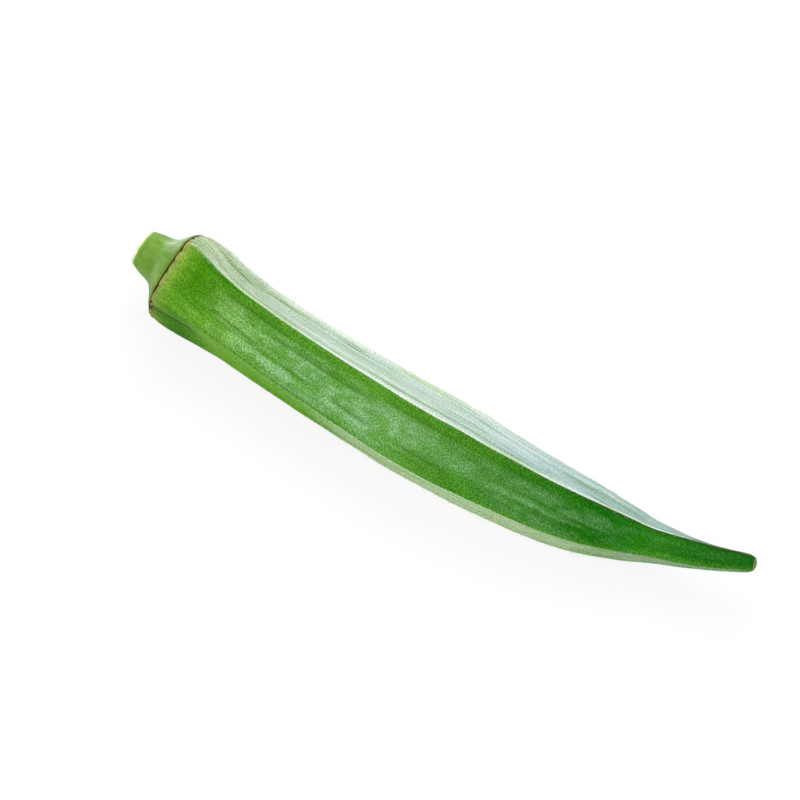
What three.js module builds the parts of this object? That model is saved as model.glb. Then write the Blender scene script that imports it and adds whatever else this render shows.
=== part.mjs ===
// An okra pod as picked: a five-ridged green capsule and the cut stalk that carries it, lying at
// rest on one of its five facets. Units are millimetres, +Z is up and +X runs from stalk to tip.
import * as THREE from "three";

// Driving dimensions.
const POD_LENGTH = 118.4; // from the seam under the stalk's cap to the blunt tip
const RIDGE_RADIUS = 9.3; // from the pod's axis to a ridge, at the fullest place
const STALK_LENGTH = 8.43; // from the cut to the seam
const STALK_RADIUS = 3.54; // at the cut
const STALK_OFFSET = { up: -0.36, side: 1.16 }; // of the stem's middle from the cap's
const CAP_RADIUS = 9.26; // to a corner of the flared cap, at the seam
const SEAM_GAP = 0.3; // the dark groove between cap and pod
const REST_PRESS = 0.12; // how far the resting flesh is pressed flat

// The five carpels. Ridge 0 is the topmost, and the others follow towards -Y.
const RIDGES = 5;
const RIDGE_STEP = (2 * Math.PI) / RIDGES;
const RESTING_FACET = 2; // the facet between ridges 2 and 3, which lies on the table
const HOLLOW_DEPTH = 0.04; // how far a facet sinks between its ridges, as a share of the radius
const RIDGE_BLUNTNESS = 0.03; // how rounded a ridge is, as a share of its facet
const ROUND_RADIUS = 0.93; // a fully rounded section, as a share of the ridge radius
const BEAK_SHARES = [1, 1, 0.785, 0.85, 0.656]; // how full each ridge stays along the beak

// The seam is not square to the axis. Its plane moves towards the tip by this much for each
// millimetre up, and back towards the stalk for each millimetre sideways.
const SEAM_SKEW = { up: 0.205, side: -0.116 };
const SKEW_END = 0.13;

// Mesh density. Each facet gets the same number of strips, closer together beside its ridges.
const STRIPS_PER_FACET = 8;
const POD_RINGS = 60;
const STALK_RINGS = 14;
const RIDGE_CROWDING = 0.55;

// How the shape changes from seam to tip. The first number is a share of the pod's length.
const GIRTH = smoothThrough([
  [0, 1.053],
  [0.017, 1.089],
  [0.042, 1.074],
  [0.085, 0.995],
  [0.144, 0.939],
  [0.237, 0.942],
  [0.381, 0.973],
  [0.46, 0.993],
  [0.53, 0.984],
  [0.6, 0.918],
  [0.678, 0.847],
  [0.746, 0.749],
  [0.805, 0.591],
  [0.856, 0.443],
  [0.907, 0.387],
  [0.958, 0.312],
  [1, 0.232],
]);
const ROUNDNESS = smoothThrough([
  [0, 0.62],
  [0.025, 0.43],
  [0.06, 0.02],
  [0.12, 0],
  [0.93, 0],
  [1, 0.6],
]);
const SIDEWAYS_BOW = smoothThrough([
  [0, 0.28],
  [0.03, -0.1],
  [0.102, -0.92],
  [0.212, -2.37],
  [0.381, -3.89],
  [0.47, -4.4],
  [0.551, -4.4],
  [0.64, -4.11],
  [0.72, -3.3],
  [0.8, -1.75],
  [0.865, -0.33],
  [0.925, 1.19],
  [1, 4.2],
]);
const TWIST_DEGREES = smoothThrough([
  [0, 12.8],
  [0.068, 8.4],
  [0.153, 6.5],
  [0.381, 2.1],
  [0.508, 0],
  [0.62, 1.6],
  [0.72, 2],
  [0.83, 4.6],
  [0.92, 7.5],
  [1, 10.1],
]);
const TIP_AXIS_HEIGHT = 7.5; // the beak lifts clear of the table
const LIFT_START = 0.66;
const BEAK_START = 0.82;
const BEAK_FULL = 0.95;
const TIP_ROUNDING = 0.013; // the blunt end's rounding, as a share of the length
const TIP_FLAT = 0.45; // what is left of the tip's girth at its very end

// The stalk's flare, by its share of the way back from seam to cut: 1 is the cap, 0 the stem.
const STALK_FLARE = smoothThrough([
  [0, 1],
  [0.11, 0.8],
  [0.2, 0.6],
  [0.27, 0.46],
  [0.39, 0.275],
  [0.52, 0.195],
  [0.71, 0.128],
  [1, 0],
]);
const CUT_ROUNDING = 0.035; // the cut's rim, as a share of the stalk's length

// A curve y(x) through the given points that never overshoots them, level beyond both ends.
function smoothThrough(points) {
  const slopes = points.slice(1).map(([x, y], i) => (y - points[i][1]) / (x - points[i][0]));
  const tangents = points.map((_, i) => {
    const before = slopes[i - 1] ?? slopes[i];
    const after = slopes[i] ?? slopes[i - 1];
    return before * after <= 0 ? 0 : (2 * before * after) / (before + after);
  });
  return (x) => {
    const at = THREE.MathUtils.clamp(x, points[0][0], points.at(-1)[0]);
    const i = Math.min(
      points.findLastIndex(([knot]) => knot <= at),
      points.length - 2,
    );
    const width = points[i + 1][0] - points[i][0];
    const t = (at - points[i][0]) / width;
    const t2 = t * t;
    const t3 = t2 * t;
    return (
      points[i][1] * (2 * t3 - 3 * t2 + 1) +
      tangents[i] * width * (t3 - 2 * t2 + t) +
      points[i + 1][1] * (3 * t2 - 2 * t3) +
      tangents[i + 1] * width * (t3 - t2)
    );
  };
}

// The distance from the axis to ridge number k, at a share of the pod's length.
function ridgeRadius(k, share) {
  const beak = THREE.MathUtils.smoothstep(share, BEAK_START, BEAK_FULL);
  return RIDGE_RADIUS * GIRTH(share) * THREE.MathUtils.lerp(1, BEAK_SHARES[k % RIDGES], beak);
}

// The outline of a cross-section as a radius, by angle from ridge 0. Its sides are chords from
// ridge to ridge that sink between them, and its corners are blunt.
function sectionRadius(angle, share) {
  const turn = THREE.MathUtils.euclideanModulo(angle, 2 * Math.PI) / RIDGE_STEP;
  const facet = Math.min(Math.floor(turn), RIDGES - 1);
  const across = turn - facet;
  const blunt = Math.hypot(Math.min(across, 1 - across), RIDGE_BLUNTNESS);
  const along = across < 0.5 ? blunt : 1 - blunt;
  const from = ridgeRadius(facet, share);
  const to = ridgeRadius(facet + 1, share);
  const chord =
    (from * to * Math.sin(RIDGE_STEP)) /
    (from * Math.sin(along * RIDGE_STEP) + to * Math.sin((1 - along) * RIDGE_STEP));
  const sunk = facet === RESTING_FACET ? 0 : HOLLOW_DEPTH * Math.sin(Math.PI * across) ** 2;
  const round = THREE.MathUtils.lerp(from, to, across) * ROUND_RADIUS;
  return THREE.MathUtils.lerp(chord * (1 - sunk), round, ROUNDNESS(share));
}

const twistAt = (share) => THREE.MathUtils.degToRad(TWIST_DEGREES(share));

// How high the axis runs: low enough for the lowest ridge to touch the table, up to the beak.
function axisHeight(share) {
  const drops = Array.from({ length: RIDGES }, (_, k) => {
    const fromTop = k * RIDGE_STEP;
    return -Math.cos(fromTop - twistAt(share)) * sectionRadius(fromTop, share);
  });
  const lift = THREE.MathUtils.smoothstep(share, LIFT_START, 1);
  return THREE.MathUtils.lerp(Math.max(...drops) - REST_PRESS, TIP_AXIS_HEIGHT, lift);
}

// The point on the axis at a share of the length, with the section's outward (-Y) direction.
function axisFrame(share) {
  const step = 0.001;
  const rise = SIDEWAYS_BOW(share + step) - SIDEWAYS_BOW(share - step);
  const run = (Math.min(share + step, 1) - Math.max(share - step, 0)) * POD_LENGTH;
  return {
    centre: new THREE.Vector3(share * POD_LENGTH, SIDEWAYS_BOW(share), axisHeight(share)),
    outward: new THREE.Vector3(rise / run, -1, 0).normalize(),
  };
}

// The point `radius` away from a frame's centre, at an angle from the top towards -Y. The
// section leans out of square by a share of the seam's skew.
function aroundFrame({ centre, outward }, angle, radius, skew) {
  const point = outward.clone().multiplyScalar(Math.sin(angle) * radius);
  point.z += Math.cos(angle) * radius;
  point.x += skew * (SEAM_SKEW.up * point.z + SEAM_SKEW.side * point.y);
  return point.add(centre);
}

// Reshapes a unit cylinder: place(along, angle, reach) says where each of its points goes, by
// its share of the height, its angle round the axis and its share of the radius.
function reshapedCylinder(rings, place) {
  const geometry = new THREE.CylinderGeometry(1, 1, 1, RIDGES * STRIPS_PER_FACET, rings);
  const points = geometry.getAttribute("position");
  for (let i = 0; i < points.count; i++) {
    const even = Math.atan2(points.getX(i), points.getZ(i));
    const crowded = even - ((RIDGE_CROWDING * RIDGE_STEP) / (2 * Math.PI)) * Math.sin(even * RIDGES);
    const reach = Math.round(Math.hypot(points.getX(i), points.getZ(i)));
    const { x, y, z } = place(points.getY(i) + 0.5, crowded, reach);
    points.setXYZ(i, x, y, Math.max(z, 0));
  }
  geometry.computeVertexNormals();
  return geometry;
}

// A rounded end's share of its full radius, by how far in from the end it is.
function roundedEnd(inward, least) {
  const t = THREE.MathUtils.clamp(inward, 0, 1);
  return THREE.MathUtils.lerp(least, 1, Math.sqrt(t * (2 - t)));
}

function podGeometry() {
  return reshapedCylinder(POD_RINGS, (along, angle, reach) => {
    const share = (1 - Math.cos(Math.PI * along)) / 2;
    const end = roundedEnd((1 - share) / TIP_ROUNDING, TIP_FLAT);
    const skew = 1 - THREE.MathUtils.smoothstep(share, 0, SKEW_END);
    const radius = reach * end * sectionRadius(angle, share);
    return aroundFrame(axisFrame(share), angle - twistAt(share), radius, skew);
  });
}

function stalkGeometry() {
  const seam = axisFrame(0);
  const backwards = new THREE.Vector3(0, SEAM_SKEW.side, SEAM_SKEW.up);
  backwards.add(seam.outward.clone().cross(new THREE.Vector3(0, 0, 1)));
  return reshapedCylinder(STALK_RINGS, (along, angle, reach) => {
    const back = 1 - along;
    const flare = STALK_FLARE(back);
    const ridged = THREE.MathUtils.lerp(1, sectionRadius(angle, 0) / sectionRadius(0, 0), flare);
    const radius = THREE.MathUtils.lerp(STALK_RADIUS, CAP_RADIUS, flare) * ridged;
    const end = roundedEnd((1 - back) / CUT_ROUNDING, 0.955);
    const distance = THREE.MathUtils.lerp(SEAM_GAP, STALK_LENGTH, back);
    const centre = backwards.clone().multiplyScalar(distance).add(seam.centre);
    centre.y += (1 - flare) * STALK_OFFSET.side;
    centre.z += (1 - flare) * STALK_OFFSET.up;
    return aroundFrame({ ...seam, centre }, angle - twistAt(0), reach * radius * end, 1);
  });
}

function namedMesh(name, geometry, color, roughness) {
  const material = new THREE.MeshStandardMaterial({ color, roughness, metalness: 0 });
  const mesh = new THREE.Mesh(geometry, material);
  mesh.name = name;
  return mesh;
}

const lying = new THREE.Group();
lying.add(namedMesh("pod", podGeometry(), 0x4f9a2c, 0.55));
lying.add(namedMesh("stalk", stalkGeometry(), 0x84b14a, 0.5));

// The frame's origin is on the table, under the middle of the pod's box.
const middle = new THREE.Box3().setFromObject(lying).getCenter(new THREE.Vector3());
lying.position.set(-middle.x, -middle.y, 0);

const okra = new THREE.Group();
okra.add(lying);

export default okra;
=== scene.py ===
"""An okra pod lying at rest: its ribbed downy skin, cut stalk, seam scar, dry tip and stage."""

import math

import bpy
import numpy as np
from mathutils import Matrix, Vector


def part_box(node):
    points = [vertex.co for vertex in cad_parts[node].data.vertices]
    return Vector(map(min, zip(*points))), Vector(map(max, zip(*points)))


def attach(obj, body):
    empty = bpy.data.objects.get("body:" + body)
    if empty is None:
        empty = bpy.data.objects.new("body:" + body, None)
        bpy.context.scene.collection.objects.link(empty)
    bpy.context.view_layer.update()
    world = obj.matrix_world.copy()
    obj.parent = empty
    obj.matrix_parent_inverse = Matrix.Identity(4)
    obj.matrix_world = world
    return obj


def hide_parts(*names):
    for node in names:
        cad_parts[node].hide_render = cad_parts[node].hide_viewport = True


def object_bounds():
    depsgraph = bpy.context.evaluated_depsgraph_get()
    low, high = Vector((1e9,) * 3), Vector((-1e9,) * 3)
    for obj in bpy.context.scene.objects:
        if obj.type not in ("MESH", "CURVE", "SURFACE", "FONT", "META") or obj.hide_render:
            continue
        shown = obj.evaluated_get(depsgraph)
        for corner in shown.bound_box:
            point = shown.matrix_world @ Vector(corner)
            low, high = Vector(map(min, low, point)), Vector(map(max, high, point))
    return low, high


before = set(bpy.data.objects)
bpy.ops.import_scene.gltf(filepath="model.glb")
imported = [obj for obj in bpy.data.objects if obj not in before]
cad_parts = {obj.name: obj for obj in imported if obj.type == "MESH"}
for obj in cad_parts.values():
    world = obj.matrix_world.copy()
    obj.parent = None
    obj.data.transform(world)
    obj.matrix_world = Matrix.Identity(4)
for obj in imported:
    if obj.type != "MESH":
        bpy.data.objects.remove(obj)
CAD_LOW, CAD_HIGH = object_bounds()

bl_info = {
    "name": "Okra Pod",
    "version": (1, 0, 0),
    "blender": (4, 5, 0),
    "location": "View3D > Sidebar > Okra",
    "description": "Builds a fresh okra pod with its down, its cut stalk and a plain stage",
    "category": "Add Mesh",
}

MM = 0.001
FULL_TURN = 2 * math.pi

# The five carpels. Ridge 0 is the topmost, and the others follow towards -Y. Facet n lies
# between ridge n and the next.
RIDGES = 5
RIDGE_STEP = FULL_TURN / RIDGES
FRONT_FACET, LOWER_FACET, RESTING_FACET, BACK_FACET, UPPER_FACET = range(RIDGES)

# How the shape changes from seam to tip. The first number is a share of the pod's length.
GIRTH = (
    (0, 1.053), (0.017, 1.089), (0.042, 1.074), (0.085, 0.995), (0.144, 0.939),
    (0.237, 0.942), (0.381, 0.973), (0.46, 0.993), (0.53, 0.984), (0.6, 0.918),
    (0.678, 0.847), (0.746, 0.749), (0.805, 0.591), (0.856, 0.443), (0.907, 0.387),
    (0.958, 0.312), (1, 0.232),
)
ROUNDNESS = ((0, 0.62), (0.025, 0.43), (0.06, 0.02), (0.12, 0), (0.93, 0), (1, 0.6))
SIDEWAYS_BOW_MM = (
    (0, 0.28), (0.03, -0.1), (0.102, -0.92), (0.212, -2.37), (0.381, -3.89),
    (0.47, -4.4), (0.551, -4.4), (0.64, -4.11), (0.72, -3.3), (0.8, -1.75),
    (0.865, -0.33), (0.925, 1.19), (1, 4.2),
)
TWIST_DEGREES = (
    (0, 12.8), (0.068, 8.4), (0.153, 6.5), (0.381, 2.1), (0.508, 0), (0.62, 1.6),
    (0.72, 2), (0.83, 4.6), (0.92, 7.5), (1, 10.1),
)
STALK_FLARE = (
    (0, 1), (0.11, 0.8), (0.2, 0.6), (0.27, 0.46), (0.39, 0.275), (0.52, 0.195),
    (0.71, 0.128), (1, 0),
)
ROUND_RADIUS = 0.93
TIP_AXIS_HEIGHT_MM = 7.5
LIFT_START = 0.66
BEAK = (0.82, 0.95)
BEAK_SHARES = (1, 1, 0.785, 0.85, 0.656)
SEAM_SKEW_UP, SEAM_SKEW_SIDE = 0.205, -0.116
STALK_OFFSET_MM = (0, 1.16, -0.36)
SKEW_END = 0.13
TIP_ROUNDING = 0.013
TIP_FLAT = 0.45

# How much of each facet the down hides, along the pod: as an even coat, and in soft patches. The
# thick coat on the upper and lower facets is partly painted sheen.
COAT = {
    FRONT_FACET: (
        (0, 0.1), (0.03, 0.02), (0.08, 0), (0.17, 0.24), (0.42, 0.26), (0.6, 0.12), (0.76, 0),
    ),
    LOWER_FACET: (
        (0, 0), (0.29, 0.02), (0.36, 0.5), (0.43, 0.95), (0.53, 0.95), (0.64, 0.74),
        (0.74, 0.56), (0.85, 0.36), (1, 0.2),
    ),
    RESTING_FACET: ((0, 0.05), (0.3, 0.25), (0.8, 0.2), (1, 0.05)),
    BACK_FACET: ((0, 0.3), (0.2, 0.5), (0.75, 0.5), (0.95, 0.05)),
    UPPER_FACET: ((0, 0.8), (0.05, 0.92), (0.898, 0.92), (0.92, 0.36), (1, 0.3)),
}
PATCHES = {
    FRONT_FACET: (
        (0, 0), (0.06, 0.1), (0.12, 0.7), (0.4, 0.68), (0.48, 0.44), (0.53, 0.22), (0.7, 0.28),
        (0.84, 0.06),
    ),
    LOWER_FACET: ((0, 0), (0.28, 0.03), (0.45, 0.35), (1, 0.2)),
    RESTING_FACET: ((0, 0), (0.2, 0.4), (0.7, 0.4), (0.9, 0)),
    BACK_FACET: ((0, 0), (0.2, 0.5), (0.7, 0.4), (0.9, 0)),
    UPPER_FACET: ((0, 0.1), (0.85, 0.1), (0.9, 0)),
}

# Thicker patches of down on the front facet: where the middle of each is along the pod and
# across the facet, how far it reaches each way, and how thick it is.
FRONT_PATCHES = (
    (0.11, 0.76, 0.03, 0.13, 0.3),
    (0.67, 0.7, 0.03, 0.16, 0.4),
    (0.8, 0.4, 0.028, 0.16, 0.1),
)

# Single dark lines along the front facet: where each starts and ends along the pod, how far
# across the facet it starts, how far it drifts across per whole length, and how dark it is.
FRONT_LINES = (
    (0.09, 0.21, 0.6, 0.45, 0.5),
    (0.1, 0.25, 0.17, -0.1, 0.35),
    (0.2, 0.4, 0.3, -0.1, 0.3),
    (0.24, 0.31, 0.7, 0.2, 0.35),
    (0.33, 0.43, 0.7, 0.3, 0.5),
    (0.42, 0.56, 0.15, 0.0, 0.3),
    (0.45, 0.56, 0.74, 0.1, 0.5),
)
LINE_BREADTH, LINE_FADE = 0.03, 0.03

# A facet's typical width, and a distance that keeps a marking off the other facets.
TYPICAL_FACET_MM = 11
ELSEWHERE_MM = 9

# The skin's mesh: its columns on each facet, and how closely they crowd beside the ridges.
STRIPS = 46
CROWDING = 0.6

# The unwrapped skin's scale, in millimetres: from each facet's start to the next one's, once
# round the stalk, and from the axis to the edge of the discs at the pod's and stalk's ends.
FACET_STEP_MM, STALK_ROUND_MM, POD_END_MM, STALK_END_MM = 25, 30, 8, 5

# The map that a hair reads its colour from: a hair's width on it, its margin, how far the
# shades spread across it, and how high the hair's foot reaches.
HAIR_MAP_WIDTH, MAP_MARGIN, SHADE_SPREAD, FOOT_HEIGHT = 0.012, 0.01, 0.96, 0.02
HAIR_POINTS = 4
HAIR_ROOT_DEPTH_MM = 0.02
HAIR_CLEARANCE_MM = 0.01

# How the hairs stand. Angles are from upright, and from the direction of the tip.
BRISTLE_SPREAD, BRISTLE_LEAN = 0.03, 0.42
DOWN_LEAN_DEGREES = (18, 72)
COMBED_DEGREES = -58
COMBING_SWING, COMBING_DISORDER = 1.4, 0.45
BRISTLE_SEED, DOWN_SEED, COMBING_SEED = 61, 70, 80

# How much each marking changes the colour beneath it, channel by channel. The pairs are for
# the dark and the pale places of an uneven pattern.
UNDER_RIDGE_SHADE_TONE = (0.56, 0.76, 0.3)
FIBRE_TONE = (0.55, 0.66, 0.4)
VEIN_TONE = (0.6, 0.76, 0.4)
BAND_TONE = (0.66, 0.82, 0.42)
STREAK_TONE = (0.6, 0.7, 0.62)
HEEL_SHADE_TONE = (0.68, 0.78, 0.5)
BLOTCH_TONES = (0.86, 0.9, 0.8), (1.14, 1.08, 1.25)
STROKE_TONES = (0.8, 0.86, 0.68), (1.2, 1.14, 1.32)
GRAIN_TONES = (0.46, 0.6, 0.38), (1.54, 1.4, 1.62)
STALK_TONES = (0.8, 0.86, 0.7), (1.24, 1.14, 1.45)

TABLE_HALF_SIDE = 3.0
TABLE_DROP = 0.00002
TABLE_GLOW = 0.86
# Each soft lamp's size and place, in metres.
KEY_LAMP = (0.5, (-0.18, 0.42, 0.5))
FILL_LAMP = (0.6, (0.25, -0.5, 0.55))
LENS_MM, SENSOR_MM = 100, 36
AIM_FROM_MIDDLE_MM = (-8.04, 5.273, 0)


def tint(red, green, blue):
    """A colour on the usual 0 to 255 scale as linear light."""
    scaled = (c / 255 for c in (red, green, blue))
    return tuple(c / 12.92 if c <= 0.04045 else ((c + 0.055) / 1.055) ** 2.4 for c in scaled)


def length_setting(name, text, default_mm):
    return bpy.props.FloatProperty(
        name=name, description=text, default=default_mm * MM, min=0, precision=5,
        subtype="DISTANCE", unit="LENGTH",
    )


def share_setting(name, text, default):
    return bpy.props.FloatProperty(
        name=name, description=text, default=default, min=0, max=1, subtype="FACTOR"
    )


def colour_setting(name, text, colour):
    return bpy.props.FloatVectorProperty(
        name=name, description=text, default=tint(*colour), size=3, min=0, max=1,
        subtype="COLOR",
    )


class OkraPodSettings(bpy.types.PropertyGroup):
    length: length_setting("Length", "From the seam to the blunt tip", 118.4)
    ridge_radius: length_setting("Ridge Radius", "From the axis to a ridge at its fullest", 9.3)
    rest_press: length_setting("Rest Press", "How far the resting flesh is pressed flat", 0.12)
    hollow: share_setting("Hollow", "How far a facet sinks between its ridges", 0.04)
    bluntness: share_setting("Ridge Bluntness", "How rounded a ridge is, by its facet", 0.03)
    rib_height: length_setting("Rib Height", "How far the rib stands up along each ridge", 0.07)
    neck_green: colour_setting("Neck Green", "The skin just past the seam", (70, 137, 2))
    belly_green: colour_setting("Belly Green", "The skin at the fullest place", (88, 151, 40))
    tip_green: colour_setting("Tip Green", "The skin along the beak", (18, 106, 1))
    shaded_green: colour_setting("Shaded Green", "The paler skin low on the pod", (104, 170, 22))
    felt_colour: colour_setting("Felt", "The thin down on the front", (144, 193, 138))
    # Low Felt: the thick down low on the pod, whose paleness is partly painted sheen.
    low_down_and_sheen: colour_setting("Low Felt", "The thick down low on the pod", (202, 220, 186))
    tip_brown: colour_setting("Tip Brown", "The dry end of the beak", (104, 76, 42))
    tip_rim: colour_setting("Tip Rim", "The rim of the dry end", (142, 146, 104))
    # Top Felt: the thickest down, whose whiteness is partly painted sheen where light grazes the
    # upper facet.
    top_down_and_sheen: colour_setting("Top Felt", "The thickest down, on top", (184, 203, 192))


class OkraStalkSettings(bpy.types.PropertyGroup):
    length: length_setting("Length", "From the cut to the seam", 8.43)
    radius: length_setting("Radius", "At the cut", 3.54)
    cap_radius: length_setting("Cap Radius", "To a corner of the flared cap", 9.26)
    seam_gap: length_setting("Seam Gap", "The groove between cap and pod", 0.3)
    skin_colour: colour_setting("Skin", "The stem's skin", (108, 152, 52))
    bloom_colour: colour_setting("Bloom", "The whitish bloom on the flare", (176, 200, 158))
    cut_colour: colour_setting("Cut", "The moist cut face", (196, 214, 140))
    scar_colour: colour_setting("Scar", "The torn dry rim along the seam", (76, 62, 20))
    scar_edge: colour_setting("Scar Edge", "The paler lip of that rim", (208, 194, 116))


class OkraDownSettings(bpy.types.PropertyGroup):
    hair_length: length_setting("Hair Length", "A typical hair of the down", 0.26)
    hair_width: length_setting("Hair Width", "A hair of the down at its root", 0.026)
    per_square_mm: bpy.props.FloatProperty(
        name="Density", description="Hairs on each square millimetre of thick down",
        default=22, min=0,
    )
    bristle_length: length_setting("Bristle Length", "A typical bristle on a ridge", 0.5)
    bristle_width: length_setting("Bristle Width", "A bristle at its root", 0.05)
    bristles_per_mm: bpy.props.FloatProperty(
        name="Bristles", description="Bristles on each millimetre of ridge", default=9, min=0
    )
    colour: colour_setting("Down", "The nearly white end of a hair", (232, 240, 226))


class OkraStageSettings(bpy.types.PropertyGroup):
    floor_colour: colour_setting("Floor", "The table and the backdrop", (244, 244, 244))
    sky_strength: bpy.props.FloatProperty(
        name="Sky", description="Even light from all round", default=0.8, min=0
    )
    key_power: bpy.props.FloatProperty(
        name="Key", description="The soft lamp above and behind", default=2.4, min=0, unit="POWER"
    )
    fill_power: bpy.props.FloatProperty(
        name="Fill", description="The soft lamp in front", default=1.0, min=0, unit="POWER"
    )
    azimuth: bpy.props.FloatProperty(
        name="Azimuth", description="The camera's bearing", default=math.radians(32.04),
        subtype="ANGLE", unit="ROTATION",
    )
    elevation: bpy.props.FloatProperty(
        name="Elevation", description="The camera's angle above the table",
        default=math.radians(58.76), subtype="ANGLE", unit="ROTATION",
    )
    distance: length_setting("Distance", "From the camera to what it looks at", 407.25)


# ---------------------------------------------------------------------------------- the shape


def through(points, x):
    """A curve through the points that never overshoots them, level beyond both ends."""
    knot, value = np.array(points, float).T
    slope = np.diff(value) / np.diff(knot)
    before, after = np.r_[slope[0], slope], np.r_[slope, slope[-1]]
    steady = before * after > 0
    tangent = np.where(steady, 2 * before * after / np.where(steady, before + after, 1), 0)
    x = np.clip(x, knot[0], knot[-1])
    i = np.clip(np.searchsorted(knot, x, side="right") - 1, 0, len(knot) - 2)
    width = knot[i + 1] - knot[i]
    t = (x - knot[i]) / width
    return (
        value[i] * (2 * t**3 - 3 * t**2 + 1)
        + tangent[i] * width * (t**3 - 2 * t**2 + t)
        + value[i + 1] * (3 * t**2 - 2 * t**3)
        + tangent[i + 1] * width * (t**3 - t**2)
    )


def eased(x, low, high):
    """From 0 at low to 1 at high, level at both ends."""
    t = np.clip((x - low) / (high - low), 0, 1)
    return t * t * (3 - 2 * t)


def blend(low, high, share):
    return low + (high - low) * share


def bell(x, centre, width):
    """1 at the centre, falling smoothly to nothing at about twice the width."""
    return np.exp(-(((x - centre) / width) ** 2))


def rounded_end(inward, least):
    """A quarter circle's profile, from least at an end to 1 once it is fully inward."""
    t = np.clip(inward, 0, 1)
    return blend(least, 1, np.sqrt(t * (2 - t)))


def patchwork(along, around, rows, columns, seed):
    """Smooth noise from 0 to 1 that closes on itself once round. Each use has its own seed."""
    grid = np.random.default_rng(seed).random((rows + 3, columns))
    x = np.clip(along, 0, 1) * rows
    y = np.mod(around, 1) * columns
    i, j = np.floor(x).astype(int), np.floor(y).astype(int)
    u, v = x - i, y - j
    u, v = u * u * (3 - 2 * u), v * v * (3 - 2 * v)
    j, k = j % columns, (j + 1) % columns
    near = blend(grid[i, j], grid[i, k], v)
    far = blend(grid[i + 1, j], grid[i + 1, k], v)
    return blend(near, far, u)


def ridge_radius(pod, ridge, share):
    """From the axis to a ridge, in millimetres."""
    beak = blend(1, np.take(BEAK_SHARES, np.mod(ridge, RIDGES)), eased(share, *BEAK))
    return pod.ridge_radius / MM * through(GIRTH, share) * beak


def facet_place(angle):
    """The facet that an angle falls on, and how far across that facet it is."""
    turn = np.mod(angle, FULL_TURN) / RIDGE_STEP
    facet = np.minimum(np.floor(turn), RIDGES - 1).astype(int)
    return facet, turn - facet


def section_radius(pod, angle, share):
    """The plain cross-section's radius, in millimetres, by the angle from ridge 0."""
    facet, across = facet_place(angle)
    blunt = np.hypot(np.minimum(across, 1 - across), pod.bluntness)
    along = np.where(across < 0.5, blunt, 1 - blunt)
    start = ridge_radius(pod, facet, share)
    end = ridge_radius(pod, facet + 1, share)
    chord = start * end * math.sin(RIDGE_STEP) / (
        start * np.sin(along * RIDGE_STEP) + end * np.sin((1 - along) * RIDGE_STEP)
    )
    hollow = np.where(facet == RESTING_FACET, 0, pod.hollow)
    sunk = chord * (1 - hollow * np.sin(math.pi * across) ** 2)
    round_section = blend(start, end, across) * ROUND_RADIUS
    return blend(sunk, round_section, through(ROUNDNESS, share))


def facet_width(pod, share, ridge=0):
    """From a ridge to the next, in millimetres."""
    return 2 * math.sin(RIDGE_STEP / 2) * ridge_radius(pod, ridge, share)


def ridge_distance(pod, angle, share):
    """The distance to the nearest ridge, in millimetres across the facet."""
    across = facet_place(angle)[1]
    return np.minimum(across, 1 - across) * facet_width(pod, share)


def on_facets(curves, facet, share):
    """Each place's value from the curve of the facet that it lies on."""
    return np.choose(facet, [through(curves[n], share) for n in range(RIDGES)])


def felt_thickness(angle, share):
    """How thick the down lies, from 0 to 1: an even coat on each facet, and patches over it. The
    thick coat on the upper and lower facets also stands for painted sheen.
    """
    facet, across = facet_place(angle)
    turn = angle / FULL_TURN
    broad = patchwork(share, turn, 30, 20, 11)
    small = patchwork(share, turn, 80, 60, 12)
    patches = eased(0.55 * broad + 0.45 * small, 0.28, 0.7)
    # The patches thin out towards the ridges, and low on each facet where the belly ends.
    middle = eased(across, 0.1, 0.32) * (1 - 0.6 * eased(across, 0.86, 0.98))
    middle = middle * (1 - 0.95 * eased(across, 0.58, 0.78) * bell(share, 0.565, 0.1))
    coat = on_facets(COAT, facet, share) * np.where(facet == FRONT_FACET, middle, 1)
    felt = coat + on_facets(PATCHES, facet, share) * patches * middle
    for along, at, length, breadth, depth in FRONT_PATCHES:
        patch = depth * bell(share, along, length) * bell(across, at, breadth)
        felt = felt + patch * blend(0.35, 1, patches) * (facet == FRONT_FACET)
    felt = np.clip(felt, 0, 1)
    # The upper facet's coat stops at its ridges, and spills a little over them.
    from_top = top_ridge_side(angle, share)
    return np.where(facet == UPPER_FACET, felt * from_top, np.maximum(felt, 0.92 * from_top))


def top_ridge_side(angle, share):
    """1 on the upper facet and just over its back edge, and 0 on the others. It is softer
    across the top ridge near the seam."""
    facet, across = facet_place(angle)
    width = TYPICAL_FACET_MM * through(GIRTH, share)
    inside = np.where(facet == FRONT_FACET, -across, -1)
    inside = np.where(facet == UPPER_FACET, 1 - across, inside)
    soft = blend(1.3, 0.1, eased(share, 0.02, 0.13))
    over_back = np.where(facet == BACK_FACET, 1 - eased((1 - across) * width, 0.4, 1.4), 0)
    over_back = over_back * (1 - eased(share, 0.84, 0.92))
    return np.maximum(eased(inside * width, -soft, soft), over_back)


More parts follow.
